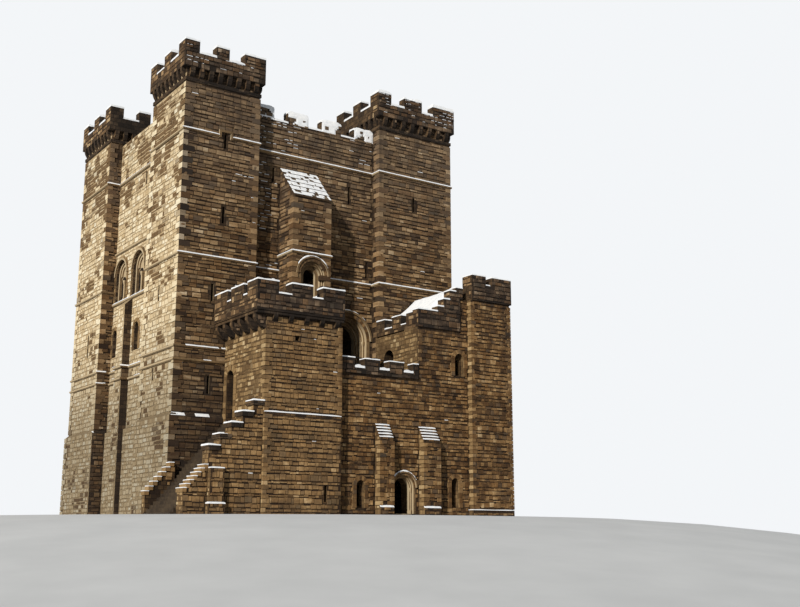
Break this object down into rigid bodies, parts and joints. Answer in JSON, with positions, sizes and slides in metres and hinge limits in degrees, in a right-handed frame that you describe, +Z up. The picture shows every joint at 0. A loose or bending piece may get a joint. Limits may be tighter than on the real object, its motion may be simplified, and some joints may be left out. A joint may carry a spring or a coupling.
{
  "type": "castle keep",
  "caption": "Square stone keep with crenellated corner turrets and a lower forebuilding of two towers, a stair and a chapel along its entrance front",
  "frame": {"origin": "middle of the keep's plan at the foot of its walls", "axes": "+Z up, the entrance front faces -Y, +X along that front to the viewer's right"},
  "size_m": [21.4, 22.5, 27.05],
  "materials": {
    "keep_sandstone": "coursed squared sandstone",
    "parapet_stone": "soot-dark weathered sandstone",
    "forebuilding_sandstone": "coursed sandstone rubble",
    "dressed_stone": "dressed sandstone",
    "roof_stone": "stone slabs under thin snow",
    "roof_lead": "dull sheet",
    "floor_stone": "worn flags",
    "step_stone": "worn steps",
    "rail_iron": "painted black"
  },
  "bodies": {
    "root": {"arch_hoods": "dressed_stone", "chapel_buttresses": "forebuilding_sandstone", "chapel_doorway_head": "forebuilding_sandstone", "chapel_doorway_orders": "dressed_stone", "chapel_floor": "floor_stone", "chapel_vault": "floor_stone", "chapel_wall": "forebuilding_sandstone", "east_projection": "keep_sandstone", "east_wall_north_of_doorway": "keep_sandstone", "east_wall_over_doorway": "keep_sandstone", "east_wall_south_of_doorway": "keep_sandstone", "east_wall_under_doorway": "keep_sandstone", "hall_doorway_orders": "dressed_stone", "handrail": "rail_iron", "keep_floors": "floor_stone", "landing": "floor_stone", "lower_stair_core": "forebuilding_sandstone", "lower_stair_treads": "step_stone", "middle_parapet": "parapet_stone", "north_wall": "keep_sandstone", "northeast_turret": "keep_sandstone", "northeast_turret_parapet": "parapet_stone", "northwest_turret": "keep_sandstone", "northwest_turret_parapet": "parapet_stone", "projection_roof": "roof_stone", "projection_window_orders": "dressed_stone", "roof_deck": "roof_lead", "south_twin_windows": "dressed_stone", "south_wall": "keep_sandstone", "southeast_turret": "keep_sandstone", "southeast_turret_parapet": "parapet_stone", "southwest_turret": "keep_sandstone", "southwest_turret_parapet": "parapet_stone", "stair_copings": "dressed_stone", "stair_parapets": "forebuilding_sandstone", "stair_tower": "forebuilding_sandstone", "stair_tower_parapet": "parapet_stone", "stair_tower_roof": "roof_lead", "string_courses": "dressed_stone", "upper_stair_core": "forebuilding_sandstone", "upper_stair_treads": "step_stone", "upper_tower": "forebuilding_sandstone", "upper_tower_gable": "parapet_stone", "upper_tower_parapets": "parapet_stone", "upper_tower_roof": "roof_lead", "wall_parapets": "parapet_stone", "wall_pilasters": "keep_sandstone", "west_wall": "keep_sandstone"}
  },
  "joints": []
}
